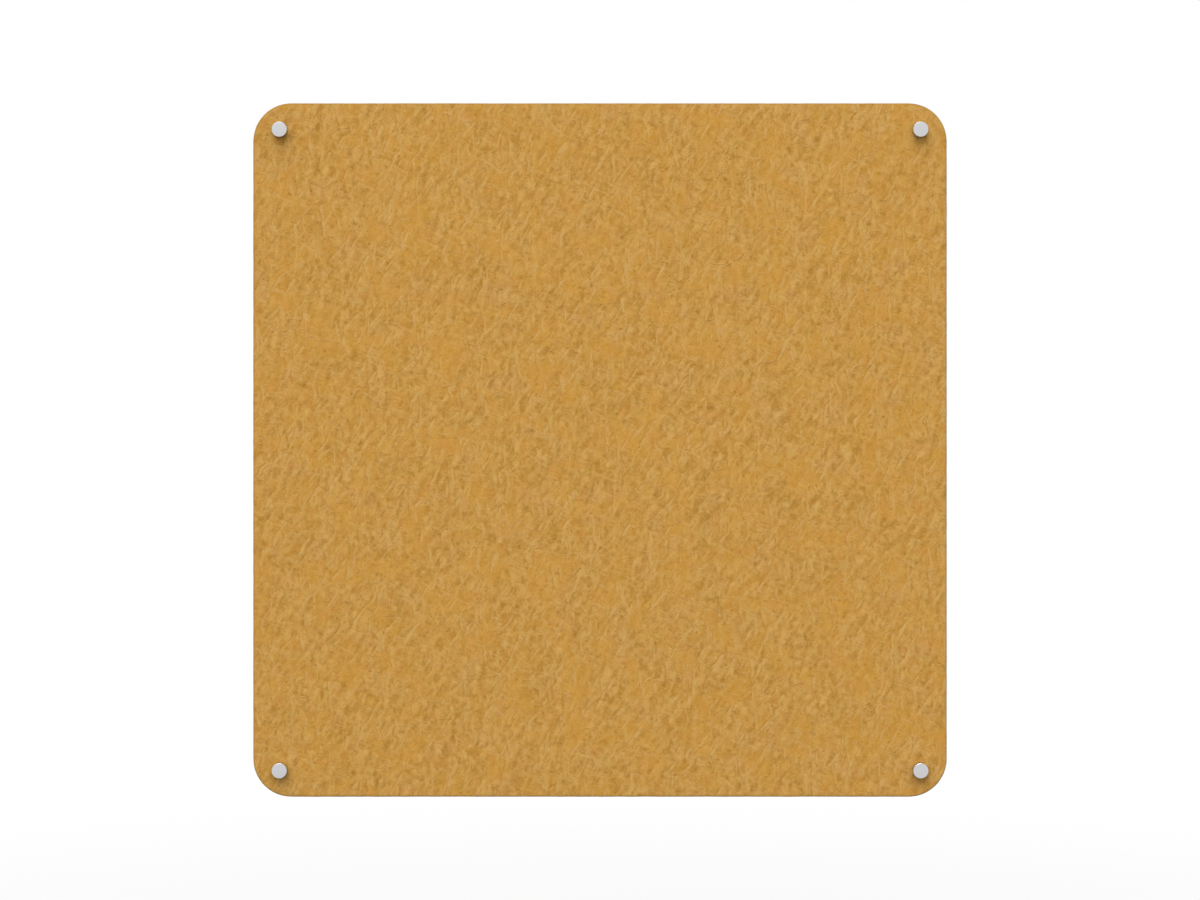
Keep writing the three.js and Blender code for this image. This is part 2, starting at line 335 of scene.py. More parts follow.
def felt_material(board):
    """Pressed wool felt, dyed ochre: a matt mat of fibres with a soft nap, folds of 7 to 15 mm, thin creases,
    small pits between its fibres, and patches where the dye took more orange or rusty or stayed creamier.
    The flanks of folds and creases are painted light and painted shade, the pits painted shade, the nap's
    strands a painted highlight, the face's blotches partly painted shade in the bumps' hollows, and a strip
    along the outline and the cut edge painted shade."""
    dye = board.felt_colour
    material, tree = new_material("pressed wool felt")
    place = place_in_mm(tree)
    bent = curled(tree, curled(tree, place, 30, 8), 7, 3.2)
    # These blotches are also the bumps' height, so they are darker in the hollows and paler on the humps:
    # partly the felt's uneven tone, partly painted shade and painted light
    mottle_and_bump_shading = patches(tree, bent, 6, 0.3, 0.7, 1.5)
    cloud = patches(tree, bent, 30, 0.36, 0.64)
    # The folds are only painted: painted light on the flank that faces the light, painted shade on the other
    folds = []
    for number, (*fold, strength) in enumerate(FOLDS, FIRST_FOLD):
        folds.append((flanks(tree, bent, number, *fold), strength))
    relief = weighted(tree, *folds)
    coats = [
        ("creamy", patches(tree, apart(tree, bent, CREAM), 26, 0.5, 0.7, 3.0), 1.0),
        ("fold flank in painted shade", node(tree, MAP_RANGE, (relief, 0, -1)), 1.0),
        ("fold flank in painted light", node(tree, MAP_RANGE, (relief, 0, 1)), 1.0),
        ("orange", patches(tree, bent, 28, 0.44, 0.66, 3.0), 1.0),
        ("rusty", patches(tree, apart(tree, bent, RUST), 13, 0.46, 0.68, 3.0), 1.0),
    ]
    ridges = []
    for number, (*crease, strength) in enumerate(CREASES, FIRST_CREASE):
        # The crease's flank in painted light, which also lifts the bump, and its flank in painted shade
        up, away = creases(tree, bent, number, *crease)
        coats += [("crease flank in painted shade", away, strength), ("crease flank in painted light", up, strength)]
        ridges.append((up, 0.4 * strength))
    # The small pits between the fibres are painted shade, and they are also dents in the bump
    from_pit = node(tree, "ShaderNodeTexVoronoi", {"Vector": bent, "Scale": 1 / 8})
    pits = node(tree, MAP_RANGE, (from_pit, 0.04, 0.28, 1, 0), interpolation_type=SOFTLY)
    # The nap's strands are painted paler, a painted highlight as if they catch the light, and they also raise
    # the bump
    strands = nap(tree, curled(tree, place, 4, 2.5))

    # A strip of the face along the outline is darker and greyer, and the cut edge and its rounding darker
    # still:
    # painted shade of the rounded edge. The cut edge also shows the layers of the mat
    from_edge = node(tree, ATTRIBUTE, out="Fac", attribute_name="from_edge")
    pressed = node(tree, MAP_RANGE, (from_edge, 0.6 * MM, 2.2 * MM, 1, 0), interpolation_type=SOFTLY)
    facing = node(tree, SPLIT, (node(tree, COORDINATES, out="Normal"),), "Y")
    flatness = node(tree, MATH, (facing,), operation="ABSOLUTE")
    on_edge = node(tree, MAP_RANGE, (flatness, 0.45, 0.95, 1, 0), interpolation_type=SOFTLY)
    layered = node(tree, VECTOR, (bent, (1 / 3.5, 1 / 0.9, 1 / 3.5)), operation="MULTIPLY")
    layers = patches(tree, layered, 1, 0.3, 0.7, 3.0)

    # Painted shade in the pits, a painted highlight on the nap and painted shade in the strip along the
    # outline
    coats += [("pits in painted shade", pits, 1.0), ("nap in painted highlight", strands, 1.0), ("pressed", pressed, 1.0)]
    colour = between(tree, dye, *FACE_TINTS, weighted(tree, (mottle_and_bump_shading, 0.6), (cloud, 0.4)))
    for name, mask, strength in coats:
        tint, share = COATS[name]
        colour = laid_over(tree, colour, tinted(dye, tint), mask, share * strength)
    # The cut edge and its rounding in the darker tints: painted shade over the mat's layers
    colour = laid_over(tree, colour, between(tree, dye, *SHADED_EDGE_TINTS, layers), on_edge)

    grain = node(tree, NOISE, {"Vector": bent, "Scale": 1 / 1.3})
    of_edge = weighted(tree, (on_edge, layers))
    height = weighted(
        tree, (mottle_and_bump_shading, 0.25), *ridges, (pits, -0.3), (strands, 0.25), (grain, 0.12), (of_edge, 0.4)
    )
    bump = node(tree, BUMP, {"Height": height, "Strength": 0.35, "Distance": MM})
    return shaded(
        material, Base_Color=colour, Normal=bump, Roughness=0.95, Specular_IOR_Level=0.1,
        Sheen_Weight=0.05, Sheen_Roughness=0.6,
    )


def fibre_material(board):
    """Loose wool fibres of the same felt: paler where they stand proud, because the nap catches the light."""
    material, tree = new_material("loose wool fibres")
    shade = node(tree, ATTRIBUTE, out="Fac", attribute_name="shade")
    patch = patches(tree, place_in_mm(tree), 5, 0.3, 0.7)
    paleness = weighted(tree, (shade, 0.5), (patch, 0.5))
    colour = between(tree, board.felt_colour, *FIBRE_TINTS, paleness)
    return shaded(
        material, Base_Color=colour, Roughness=0.9, Specular_IOR_Level=0.2,
        Sheen_Weight=0.1, Sheen_Roughness=0.5,
    )


def turned_metal(name, colour, roughness, line_width):
    """Metal turned on a lathe: the tool leaves fine rings on the ends and fine lines round the sides.
    Real ones are some 0.05 mm apart and are drawn wider here, so that they show from near."""
    material, tree = new_material(name)
    along = node(tree, "ShaderNodeUVMap", uv_map="turning")
    rings = node(tree, VECTOR, (along, (3.0, 1 / line_width, 0)), operation="MULTIPLY")
    tool = node(tree, NOISE, {"Vector": rings, "Scale": 1.0, "Detail": 3.0, "Roughness": 0.7})
    cloud = node(tree, NOISE, {"Vector": place_in_mm(tree), "Scale": 1 / 3})
    finish = weighted(tree, (tool, 0.12), (cloud, 0.06), (1.0, roughness - 0.09))
    bump = node(tree, BUMP, {"Height": tool, "Strength": 0.5, "Distance": 0.01 * MM})
    return shaded(material, Base_Color=colour, Metallic=1.0, Roughness=finish, Normal=bump)


ALUMINIUM = "satin anodised aluminium"


def aluminium_material(stand_off):
    """Turned aluminium, bead-blasted and clear anodised: an even pale grey with a soft, wide highlight."""
    return turned_metal(ALUMINIUM, stand_off.metal_colour, 0.3, 0.18)


def zinc_material(fixing):
    """Zinc-plated steel: a thin bluish plating over the drawn wire, brighter than the aluminium."""
    return turned_metal("zinc-plated steel", fixing.zinc_colour, 0.32, 0.25)


def washer_material(stand_off):
    """Black nitrile rubber, punched from a sheet: dark grey, a little dusty, with a dull gloss."""
    material, tree = new_material("black nitrile rubber")
    dust = patches(tree, place_in_mm(tree), 1.6, 0.3, 0.7, 3.0)
    tone = between(tree, stand_off.washer_colour, (0.85, 0.85, 0.85), (1.25, 1.24, 1.22), dust)
    finish = weighted(tree, (dust, 0.2), (1.0, 0.5))
    return shaded(material, Base_Color=tone, Roughness=finish, Specular_IOR_Level=0.4)


def nylon_material(fixing):
    """Moulded grey nylon: waxy and even, with the fine erosion of the mould in its surface."""
    material, tree = new_material("moulded grey nylon")
    place = place_in_mm(tree)
    cloud = patches(tree, place, 4, 0.3, 0.7)
    tone = between(tree, fixing.nylon_colour, (0.94, 0.94, 0.94), (1.05, 1.05, 1.05), cloud)
    erosion = node(tree, NOISE, {"Vector": place, "Scale": 1 / 0.25})
    finish = weighted(tree, (erosion, 0.2), (1.0, 0.45))
    bump = node(tree, BUMP, {"Height": erosion, "Strength": 0.4, "Distance": 0.02 * MM})
    return shaded(material, Base_Color=tone, Roughness=finish, Normal=bump, Specular_IOR_Level=0.45)


def new_object(name, data):
    made = bpy.data.objects.new(name, data)
    bpy.context.scene.collection.objects.link(made)
    return made


def mesh_from(name, points, faces):
    mesh = bpy.data.meshes.new(name)
    mesh.from_pydata(points, [], faces)
    mesh.shade_smooth()
    return mesh


def mesh_of(thing):
    """Takes an object's mesh and removes the object."""
    mesh = thing.data
    bpy.data.objects.remove(thing)
    return mesh


def finished(thing):
    """Turns what an object's modifiers make into its plain mesh."""
    graph = bpy.context.evaluated_depsgraph_get()
    mesh = bpy.data.meshes.new_from_object(thing.evaluated_get(graph), depsgraph=graph)
    if not mesh.polygons:
        raise RuntimeError(f"{thing.name} came out empty")
    thing.modifiers.clear()
    old = thing.data
    thing.data = mesh
    mesh.name = thing.name
    bpy.data.meshes.remove(old)
    return thing


def through_tree(thing, tree, **values):
    """Runs an object through a geometry tree, whose inputs are named in words joined by underscores."""
    modifier = thing.modifiers.new(tree.name, "NODES")
    modifier.node_group = tree
    for item in tree.interface.items_tree:
        key = item.name.lower().replace(" ", "_")
        if item.in_out == "INPUT" and key in values:
            modifier[item.identifier] = values.pop(key)
    if values:
        raise RuntimeError(f"{tree.name} has no input for {sorted(values)}")
    return finished(thing)


def new_tree(name, numbers, whole_numbers=()):
    """A geometry tree that takes a geometry, numbers and a material, and the sockets that give them in it."""
    tree = bpy.data.node_groups.new(name, "GeometryNodeTree")
    tree.interface.new_socket("Geometry", in_out="OUTPUT", socket_type="NodeSocketGeometry")
    inputs = [("Geometry", "Geometry")]
    inputs += [(label, "Float") for label in numbers]
    inputs += [(label, "Int") for label in whole_numbers]
    for label, kind in inputs + [("Material", "Material")]:
        tree.interface.new_socket(label, in_out="INPUT", socket_type=f"NodeSocket{kind}")
    return tree, node(tree, "NodeGroupInput").node.outputs


def close_tree(tree, geometry, material):
    """Ends a tree: instances made real, material set."""
    real = node(tree, REALIZE, (geometry,))
    dressed = node(tree, "GeometryNodeSetMaterial", {"Geometry": real, "Material": material})
    node(tree, "NodeGroupOutput", (dressed,))
    return tree


def corner_tree():
    """Sets a piece that is modelled round the Y axis on the axis of one stand-off, or of all of them."""
    name = "place at the corners"
    if name in bpy.data.node_groups:
        return bpy.data.node_groups[name]
    tree, given = new_tree(name, ["Spacing"], ["Corner"])
    spacing, corner = given["Spacing"], given["Corner"]
    grid = node(tree, "GeometryNodeMeshGrid", (spacing, spacing, 2, 2))
    upright = node(tree, "GeometryNodeTransform", {"Geometry": grid, "Rotation": (QUARTER, 0, 0)})
    index = node(tree, "GeometryNodeInputIndex")
    this_one = node(tree, COMPARE, {2: index, 3: corner}, data_type="INT", operation="EQUAL")
    every_one = node(tree, COMPARE, {2: corner, 3: 0}, data_type="INT", operation="LESS_THAN")
    chosen = node(tree, "FunctionNodeBooleanMath", (this_one, every_one), operation="OR")
    placed = node(tree, COPIES, {"Points": upright, "Selection": chosen, "Instance": given["Geometry"]})
    return close_tree(tree, placed, given["Material"])


def seated(mesh, name, corner, material):
    """A piece made of a mesh, on the axis of one stand-off or of every one."""
    thing = new_object(name, mesh)
    return through_tree(thing, corner_tree(), spacing=2 * AXIS_OFFSET, corner=corner, material=material)


ROUND_FACETS, SCREW_FACETS, PLUG_FACETS = 72, 28, 48
# Surfaces that meet at more than this are parted by a sharp edge
SHARP_ANGLE = math.radians(38)
# Where a thread's flank begins and ends, from 0 in the middle of its crest to 1 in the middle of its groove
CREST_END, SCREW_CREST_END, FLOOR_START = 0.2, 0.06, 0.8
ROWS_A_TURN = 9


def partway(start, end, share):
    """The point at a share of the way from start to end."""
    return tuple(a + (b - a) * share for a, b in zip(start, end))


def profile(*corners, steps=4):
    """A lathe profile of radius and reach pairs. A third number on a corner eases it over that length."""
    rows = []
    for number, (radius, reach, *ease) in enumerate(corners):
        corner = (radius, reach)
        if not ease:
            rows.append(corner)
            continue
        others = corners[number - 1][:2], corners[(number + 1) % len(corners)][:2]
        start, end = [partway(corner, other, ease[0] / math.dist(corner, other)) for other in others]
        for step in range(steps + 1):
            share = step / steps
            rows.append(partway(partway(start, corner, share), partway(corner, end, share), share))
    return rows


def threaded(share, pitch, *corners):
    """Rows of a thread along a profile: radius, reach and the groove's depth as a share of the radius."""
    rows = []
    for start, end in zip(corners, corners[1:]):
        count = math.ceil(abs(end[1] - start[1]) / (pitch / ROWS_A_TURN))
        rows += [(*partway(start, end, step / count), share) for step in range(count)]
    return rows + [(*corners[-1], share)]


def groove(angle, reach, pitch, crest_end):
    """Depth, from 0 to 1, of a right-hand thread's groove."""
    phase = (reach / pitch - angle / TURN) % 1
    from_crest = min(phase, 1 - phase) * 2
    return min(max((from_crest - crest_end) / (FLOOR_START - crest_end), 0), 1)


def turned(name, rows, facets, pitch=1.0, crest_end=CREST_END):
    """A closed surface turned about the Y axis. Its UV map holds the turn and the profile's length in mm."""
    points, rings = [], []
    for radius, reach, *share in rows:
        count = facets if radius else 1
        rings.append(range(len(points), len(points) + count))
        for step in range(count):
            angle = TURN * step / facets
            depth = share[0] * groove(angle, reach, pitch, crest_end) if share else 0
            here = radius * (1 - depth)
            points.append((here * math.cos(angle), -reach, here * math.sin(angle)))
    stretches = list(zip(rows, rows[1:], rings, rings[1:]))
    if rows[0][0] > 0:
        stretches.append((rows[-1], rows[0], rings[-1], rings[0]))
    faces, marks, near = [], [], 0.0
    for start, end, first, second in stretches:
        far = near + math.dist(start[:2], end[:2]) / MM
        for step in range(facets):
            # On the axis a ring is one point, which a face has once
            face = {}
            for ring, turn, length in (
                (first, step, near), (second, step, far), (second, step + 1, far), (first, step + 1, near)
            ):
                face.setdefault(ring[turn % len(ring)], (turn / facets, length))
            faces.append(tuple(face))
            marks += face.values()
        near = far
    mesh = mesh_from(name, points, faces)
    layer = mesh.uv_layers.new(name="turning")
    layer.data.foreach_set("uv", [value for mark in marks for value in mark])
    mesh.set_sharp_from_angle(angle=SHARP_ANGLE)
    return mesh


HOLE_POINTS = 40
ROUNDING_STEPS, WALL_STEPS = 4, 4
# The points of the board's faces: their random seed, how far each strays from its place in the pattern, and
# how far they stay from the outline and from the holes' rims, as shares of their spacing
FELT_SEED = 7
STRAY, OUTLINE_ROOM, RIM_ROOM = 0.15, 0.5, 0.4


def on_circle(across, up, radius, angle):
    return across + radius * math.cos(angle), up + radius * math.sin(angle)


def circle(across, up, radius):
    return [on_circle(across, up, radius, TURN * step / HOLE_POINTS) for step in range(HOLE_POINTS)]


def outline(half, radius, inset, spacing):
    """Points round a square with rounded corners, moved inwards by inset. Each inset gives as many points."""
    side_steps = round(2 * (half - radius) / spacing)
    arc_steps = round(radius * QUARTER / spacing)
    arcs = []
    for quarter in range(4):
        middle = (quarter + 0.5) * QUARTER
        across = math.copysign(half - radius, math.cos(middle))
        up = math.copysign(half - radius, math.sin(middle))
        angles = [(quarter + step / arc_steps) * QUARTER for step in range(arc_steps + 1)]
        arcs.append([on_circle(across, up, radius - inset, angle) for angle in angles])
    points = []
    for arc, following in zip(arcs, arcs[1:] + arcs[:1]):
        points += arc
        points += [partway(arc[-1], following[0], step / side_steps) for step in range(1, side_steps)]
    return points


def inside_distance(across, up, half, radius):
    """How far a point lies inside a square with rounded corners."""
    beyond_x, beyond_z = abs(across) - (half - radius), abs(up) - (half - radius)
    outside = math.hypot(max(beyond_x, 0), max(beyond_z, 0)) + min(max(beyond_x, beyond_z), 0)
    return radius - outside


def wall_rows(rounding):
    """How the board's edge runs from its front to its back: pairs of inset and reach."""
    front = []
    for step in range(ROUNDING_STEPS + 1):
        angle = step / ROUNDING_STEPS * QUARTER
        front.append((rounding * (1 - math.sin(angle)), BOARD_FRONT - rounding * (1 - math.cos(angle))))
    back = [(inset, BOARD_FRONT + BOARD_BACK - reach) for inset, reach in reversed(front)]
    middle = [partway(front[-1], back[0], step / WALL_STEPS) for step in range(1, WALL_STEPS)]
    return front + middle + back


def board_mesh(board):
    """The board's slab: both faces in small triangles, rounded edges and four holes.
    Each point keeps its distances from the outline and from the nearest stand-off."""
    spacing = board.point_spacing
    axes = [(a, b) for a in (-AXIS_OFFSET, AXIS_OFFSET) for b in (-AXIS_OFFSET, AXIS_OFFSET)]

    def from_axis(x, z):
        return min(math.hypot(x - a, z - b) for a, b in axes)

    def on_face(x, z, outline_room=0.0, rim_room=0.0):
        inside = inside_distance(
            x, z, BOARD_HALF - board.edge_rounding, board.corner_radius - board.edge_rounding
        )
        from_rim = from_axis(x, z) - board.hole_radius - board.hole_rounding
        return inside >= outline_room * spacing and from_rim >= rim_room * spacing

    def cut(axis, inset):
        """The outline, or the rim of the hole on an axis, moved into the felt by inset."""
        if axis:
            return circle(*axis, board.hole_radius + inset)
        return outline(BOARD_HALF, board.corner_radius, inset, spacing)

    cuts = [(None, board.edge_rounding)] + [(axis, board.hole_rounding) for axis in axes]
    flat, loops = [], []
    for axis, rounding in cuts:
        rim = cut(axis, rounding)
        loops.append(range(len(flat), len(flat) + len(rim)))
        flat += rim
    chance = random.Random(FELT_SEED)
    row_height = spacing * math.sqrt(3) / 2
    rows, columns = int(BOARD_HALF / row_height), int(BOARD_HALF / spacing) + 1
    for row in range(-rows, rows + 1):
        for column in range(-columns, columns + 1):
            x = (column + (row % 2) / 2 + chance.uniform(-STRAY, STRAY)) * spacing
            z = row * row_height + chance.uniform(-STRAY, STRAY) * spacing
            if on_face(x, z, OUTLINE_ROOM, RIM_ROOM):
                flat.append((x, z))
    edges = [(loop[i - 1], loop[i]) for loop in loops for i in range(len(loop))]
    _, _, triangles, sources, _, _ = delaunay_2d_cdt([Vector(p) for p in flat], edges, [], 0, 1e-9, True)
    if any(len(source) != 1 for source in sources):
        raise RuntimeError("points of the board's face fell together")

    points = [(x, -reach, z) for reach in (BOARD_FRONT, BOARD_BACK) for x, z in flat]
    faces = []
    for triangle in triangles:
        a, b, c = (sources[corner][0] for corner in triangle)
        x, z = (sum(values) / 3 for values in zip(flat[a], flat[b], flat[c]))
        if on_face(x, z):
            faces += [(a, b, c), (len(flat) + a, len(flat) + c, len(flat) + b)]
    for (axis, rounding), loop in zip(cuts, loops):
        rings = [loop]
        for inset, reach in wall_rows(rounding)[1:-1]:
            rings.append(range(len(points), len(points) + len(loop)))
            points += [(x, -reach, z) for x, z in cut(axis, inset)]
        rings.append([len(flat) + index for index in loop])
        for near, far in zip(rings, rings[1:]):
            for i in range(len(loop)):
                quad = (near[i - 1], far[i - 1], far[i], near[i])
                faces.append(quad[::-1] if axis else quad)

    mesh = mesh_from("felt board", points, faces)
    distances = {
        "from_edge": [inside_distance(x, z, BOARD_HALF, board.corner_radius) for x, _, z in points],
        "from_fixing": [from_axis(x, z) - CAP_RADIUS for x, _, z in points],
    }
    for name, values in distances.items():
        mesh.attributes.new(name, "FLOAT", "POINT").data.foreach_set("value", values)
    return mesh


# How far from a cap's rim the felt has its whole relief
PRESSED_FLAT = 9 * MM


def relief_tree():
    """Lifts and sinks the felt's surface by soft humps, and leaves it flat where the washers press on it."""
    tree, given = new_tree("felt relief", ["Relief", "Grain"])
    fineness = node(tree, MATH, (1, given["Grain"]), operation="DIVIDE")
    grown = {"Vector": node(tree, POSITION), "Scale": fineness, "Detail": 2.5, "Roughness": 0.55}
    from_middle = node(tree, MATH, (node(tree, NOISE, grown), 0.5), operation="SUBTRACT")
    humps = weighted(tree, (from_middle, given["Relief"]))
    from_fixing = node(tree, READ, {"Name": "from_fixing"})
    loose = node(tree, MAP_RANGE, (from_fixing, 0, PRESSED_FLAT), interpolation_type=SOFTLY)
    height = weighted(tree, (humps, loose))
    offset = node(tree, VECTOR, {0: node(tree, NORMAL), "Scale": height}, operation="SCALE")
    moved = node(tree, MOVE, {"Geometry": given["Geometry"], "Offset": offset})
    return close_tree(tree, moved, given["Material"])


# A face carries fibres where the cosine of its angle to that side of the board is more than this
ON_SIDE = 0.8
# The power that makes long fibres rare, the share of the room round its middle, less a margin, that a fibre
# may be long, and the shortest one that stays
RARITY, LENGTH_IN_ROOM, ROOM_MARGIN, SHORTEST_LEFT = 1.7, 1.6, 2 * MM, 3 * MM
# How widely, and how far in radians, the fibres' direction swirls, and the width and reach of their bends
SWIRL_WIDTH, SWIRL, BEND_WIDTH, BEND = 160 * MM, 3.2, 7 * MM, 5 * MM
# How far out of the surface fibres run, of their thickness: at their lowest, from there to their highest, and
# how far these lie apart
DIP, RISE, RISE_WIDTH = -0.6, 0.7, 9 * MM
FIBRE_STEPS, FIBRE_SIDES, THIN_END = 9, 3, 0.12


def random_numbers(tree, seed, *ranges):
    """A random number for each point in each of the ranges."""
    numbers = []
    for count, (low, high) in enumerate(ranges, 1):
        own_seed = node(tree, MATH, (seed, count), operation="ADD")
        numbers.append(node(tree, "FunctionNodeRandomValue", {2: low, 3: high, "Seed": own_seed}, 1))
    return numbers


def fibre_length(tree, given, drawn):
    """Length of each fibre: mostly short, and never past what lies nearest."""
    span = node(tree, MATH, (given["Longest"], given["Shortest"]), operation="SUBTRACT")
    rarely_long = node(tree, MATH, (drawn, RARITY), operation="POWER")
    wished = node(tree, MATH, (rarely_long, span, given["Shortest"]), operation="MULTIPLY_ADD")
    limits = [node(tree, READ, {"Name": name}) for name in ("from_edge", "from_fixing")]
    room = node(tree, MATH, limits, operation="MINIMUM")
    most = weighted(tree, (room, LENGTH_IN_ROOM), (1.0, -LENGTH_IN_ROOM * ROOM_MARGIN))
    return node(tree, MATH, (wished, most), operation="MINIMUM")


def with_body(tree, strands, thickness, shade):
    """Fibres with a body, thin at both ends and thicker for some than for others."""
    half_turn = weighted(tree, (node(tree, "GeometryNodeSplineParameter"), math.pi))
    bulge = node(tree, MATH, (node(tree, MATH, (half_turn,), operation="SINE"), 0.5), operation="POWER")
    taper = node(tree, MATH, (bulge, THIN_END), operation="MAXIMUM")
    body = weighted(tree, (taper, weighted(tree, (shade, 0.6), (1.0, 0.6))))
    strands = node(tree, "GeometryNodeSetCurveRadius", {"Curve": strands, "Radius": body})
    ring = {"Resolution": FIBRE_SIDES, "Radius": weighted(tree, (thickness, 0.5))}
    section = node(tree, "GeometryNodeCurvePrimitiveCircle", ring)
    swept = {"Curve": strands, "Profile Curve": section, "Fill Caps": True}
    return node(tree, "GeometryNodeCurveToMesh", swept)


def fibre_tree():
    """Lays bowed fibres on one side of the felt. Each dips in and out of the surface, and none runs past the
    board's outline or under a washer."""
    numbers = ["Side", "Density", "Shortest", "Longest", "Thickness", "Lean", "Spread"]
    tree, given = new_tree("felt fibres", numbers, ["Seed"])
    surface, side, seed, thickness = (given[name] for name in ("Geometry", "Side", "Seed", "Thickness"))
    place = node(tree, POSITION)
    facing = node(tree, SPLIT, (node(tree, NORMAL),), "Y")
    on_side = node(tree, MATH, (weighted(tree, (facing, side)), ON_SIDE), operation="GREATER_THAN")
    scatter = {"Mesh": surface, "Selection": on_side, "Density": given["Density"], "Seed": seed}
    points = node(tree, "GeometryNodeDistributePointsOnFaces", scatter)
    drawn, aside, bow, shade = random_numbers(tree, seed, (0, 1), (-1, 1), (-0.9, 0.9), (0, 1))
    length = fibre_length(tree, given, drawn)
    too_short = node(tree, MATH, (length, SHORTEST_LEFT), operation="LESS_THAN")
    points = node(tree, "GeometryNodeDeleteGeometry", (points, too_short), domain="POINT")

    # Each fibre turns by its own angle from the lean, which swirls slowly over the board
    swirl = node(tree, NOISE, {"Vector": place, "Scale": 1 / SWIRL_WIDTH, "Detail": 1.0})
    lean = weighted(tree, (given["Lean"], 1.0), (swirl, SWIRL), (1.0, -SWIRL / 2), (aside, given["Spread"]))
    rotation = node(tree, JOIN, {"Y": weighted(tree, (lean, -1))})
    scale = node(tree, JOIN, (length, 1.0, weighted(tree, (length, bow))))
    arc = {"Start": (-0.5, 0, 0), "Middle": (0, 0, 0.5), "End": (0.5, 0, 0), "Resolution": FIBRE_STEPS}
    strand = node(tree, "GeometryNodeCurveQuadraticBezier", arc)
    copies = node(tree, COPIES, {"Points": points, "Instance": strand, "Rotation": rotation, "Scale": scale})
    copies = node(tree, STORE, {"Geometry": copies, "Name": "shade", "Value": shade}, domain="INSTANCE")
    strands = node(tree, REALIZE, (copies,))

    # The small bends and the dips of each fibre differ from its neighbours'
    own_shade = node(tree, READ, {"Name": "shade"})
    away = node(tree, JOIN, {"Y": weighted(tree, (own_shade, 0.3))})
    own_place = node(tree, VECTOR, (place, away), operation="ADD")
    wander = node(tree, NOISE, {"Vector": own_place, "Scale": 1 / BEND_WIDTH, "Detail": 1.0}, "Color")
    bend = node(tree, VECTOR, (wander, (BEND, 0, BEND), (-BEND / 2, 0, -BEND / 2)), operation="MULTIPLY_ADD")
    strands = node(tree, MOVE, {"Geometry": strands, "Offset": bend})
    nearest = node(tree, "GeometryNodeProximity", (surface,), target_element="FACES")
    lift = weighted(tree, (patches(tree, own_place, RISE_WIDTH, 0.35, 0.65, 1.0), RISE), (1.0, DIP))
    offset = node(tree, JOIN, {"Y": weighted(tree, (lift, weighted(tree, (thickness, side))))})
    strands = node(tree, MOVE, {"Geometry": strands, "Position": nearest, "Offset": offset})
    return close_tree(tree, with_body(tree, strands, thickness, own_shade), given["Material"])


# How far the rims of caps and barrels are bevelled, and how far the bevels' own corners are eased
BEVEL, BARREL_BEVEL, EASE = 0.25 * MM, 0.3 * MM, 0.08 * MM
# Inside of the barrel's base, on which the wall screw's head sits
BARREL_BASE = 3 * MM


def cap_mesh(stand_off):
    """Cap and stud in one: a flat head with a bevelled rim, an undercut, a right-hand thread to its end."""
    pitch, radius, depth = stand_off.thread_pitch, stand_off.thread_radius, stand_off.thread_depth
    neck, undercut, thread_start = radius - depth - 0.25 * MM, CAP_BACK - 1.4 * MM, CAP_BACK - 1.8 * MM
    lead, lead_length, point = 0.5 * MM, 0.6 * MM, 0.8 * MM
    head = profile(
        (0.0, CAP_FRONT),
        (CAP_RADIUS - BEVEL, CAP_FRONT, EASE),
        (CAP_RADIUS, CAP_FRONT - BEVEL, EASE),
        (CAP_RADIUS, CAP_BACK, EASE),
        (neck, CAP_BACK, 0.2 * MM),
        (neck, undercut),
    )
    stud = threaded(
        depth / radius,
        pitch,
        (radius - lead, thread_start),
        (radius, thread_start - lead_length),
        (radius, STUD_END + point),
        (radius - point, STUD_END),
    )
    return turned("cap", head + stud + [(0.0, STUD_END)], ROUND_FACETS, pitch)


def barrel_mesh(stand_off):
    """Barrel: bevelled rims, a threaded bore in front, a base with the screw's hole, a foot hollow inside."""
    pitch, bore = stand_off.thread_pitch, stand_off.thread_radius + stand_off.thread_gap
    foot, hollow, hole, mouth = CAP_RADIUS - 2.15 * MM, 0.5 * MM, 1.7 * MM, 0.5 * MM
    mouth_start = BARREL_FRONT - mouth
    outside = profile(
        (CAP_RADIUS - BARREL_BEVEL, BARREL_FRONT, EASE),
        (CAP_RADIUS, BARREL_FRONT - BARREL_BEVEL, EASE),
        (CAP_RADIUS, BARREL_BACK + BARREL_BEVEL, EASE),
        (CAP_RADIUS - BARREL_BEVEL, BARREL_BACK, EASE),
        (foot, BARREL_BACK, 0.1 * MM),
        (foot, hollow),
        (hole, hollow, 0.15 * MM),
        (hole, BARREL_BASE),
    )
    inside = threaded(stand_off.thread_depth / bore, pitch, (bore, BARREL_BASE), (bore, mouth_start))
    rim = profile((bore, mouth_start), (bore + mouth, BARREL_FRONT, EASE), (CAP_RADIUS, BARREL_FRONT))
    return turned("barrel", outside + inside + rim[1:-1], ROUND_FACETS, pitch)


def washer_mesh(stand_off, near, far):
    """Washer: a flat ring with soft edges between two reaches."""
    hole, ease = stand_off.thread_radius + stand_off.washer_gap, 0.12 * MM
    section = ((WASHER_RADIUS, far), (WASHER_RADIUS, near), (hole, near), (hole, far))
    return turned("washer", profile(*[(*corner, ease) for corner in section]), ROUND_FACETS)


def merged(thing, other, operation):
    """Cuts another object from a thing, or joins it on, and removes the other."""
    modifier = thing.modifiers.new(operation, "BOOLEAN")
    modifier.operation, modifier.object, modifier.solver = operation, other, "EXACT"
    finished(thing)
    bpy.data.meshes.remove(mesh_of(other))
    return thing


def block(name, near, far):
    """A solid between two ends of four points each, which run the same way round."""
    faces = [(0, 1, 2, 3), (7, 6, 5, 4), (0, 4, 5, 1), (1, 5, 6, 2), (2, 6, 7, 3), (3, 7, 4, 0)]
    return new_object(name, mesh_from(name, [*near, *far], faces))


